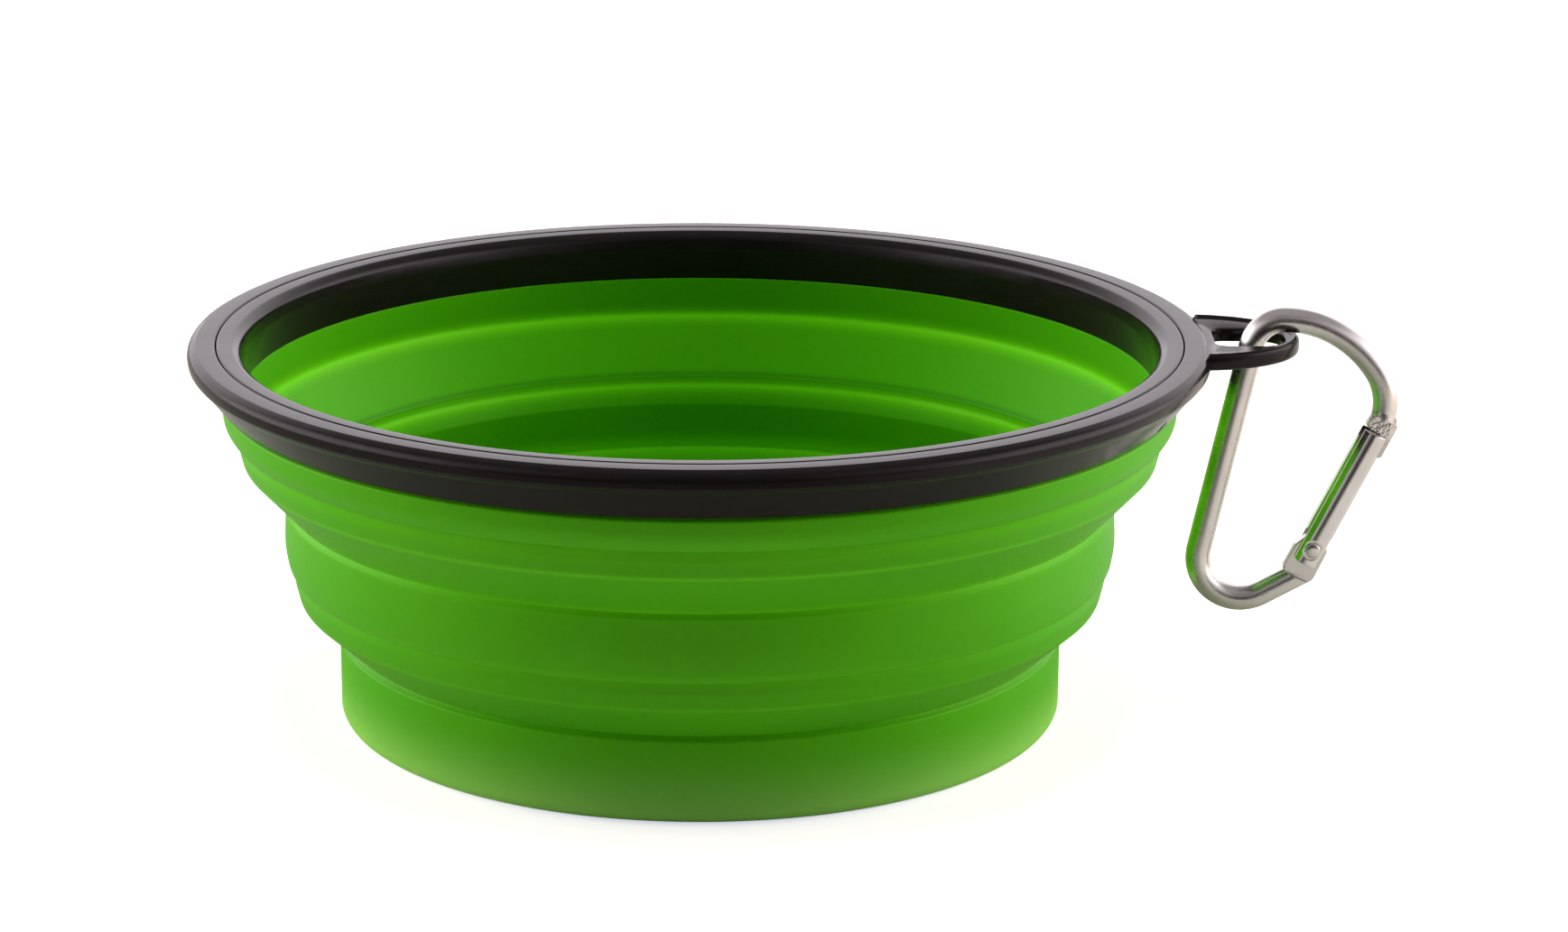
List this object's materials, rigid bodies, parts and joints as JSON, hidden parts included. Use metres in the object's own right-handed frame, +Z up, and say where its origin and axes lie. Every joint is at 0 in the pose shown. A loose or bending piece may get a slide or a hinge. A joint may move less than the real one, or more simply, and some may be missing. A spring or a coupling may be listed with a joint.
{
  "type": "collapsible silicone bowl",
  "caption": "Collapsible pet travel bowl: stepped silicone walls that fold flat, a two-ring plastic rim with a slotted hanging tab, and a sprung metal clip.",
  "frame": {"origin": "centre of the bowl's flat underside, open as in the picture", "axes": "+Z up along the bowl's axis, +X through the middle of the hanging tab and the clip, +Y to the left of the tab seen from the bowl's axis"},
  "size_m": [0.1545, 0.13, 0.0533],
  "materials": {
    "silicone": "satin moulded silicone",
    "rim_plastic": "satin black moulded plastic",
    "clip_metal": "bright drawn wire",
    "rivet_metal": "bright",
    "spring_metal": "bright"
  },
  "bodies": {
    "base": {"base": "silicone", "fold_lower": "silicone"},
    "middle": {"wall_middle": "silicone", "fold_upper": "silicone"},
    "rim": {"wall_top": "silicone", "inner_ring": "rim_plastic", "outer_ring": "rim_plastic"},
    "clip": {"clip_body": "clip_metal"},
    "gate": {"clip_gate": "clip_metal", "gate_rivet": "rivet_metal", "gate_spring": "spring_metal"},
    "plunger": {"gate_plunger": "spring_metal"}
  },
  "joints": [
    {"name": "fold_lower_push", "type": "slide", "parent": "base", "child": "middle", "axis": [0, 0, -1], "range_m": [0, 0.0176], "deforming": ["fold_lower"]},
    {"name": "fold_upper_push", "type": "slide", "parent": "middle", "child": "rim", "axis": [0, 0, -1], "range_m": [0, 0.019], "deforming": ["fold_upper"]},
    {"name": "clip_swing", "type": "hinge", "parent": "rim", "child": "clip", "pos_m": [0.07525, 0, 0.0487], "axis": [0, -1, 0], "range_deg": [-15, 150]},
    {"name": "gate_open", "type": "hinge", "parent": "clip", "child": "gate", "pos_m": [0.07883, 0, 0.02151], "axis": [0, -1, 0], "range_deg": [0, 30], "stiffness_Nm_per_rad": 0.01, "springref_deg": -17.19},
    {"name": "plunger_push", "type": "slide", "parent": "gate", "child": "plunger", "axis": [0.4407, 0, 0.8977], "range_m": [0, 0.0005], "deforming": ["gate_spring"]}
  ],
  "couplings": [
    {"joint": "plunger_push", "follows": "gate_open", "m_per_rad": 0.0008}
  ]
}
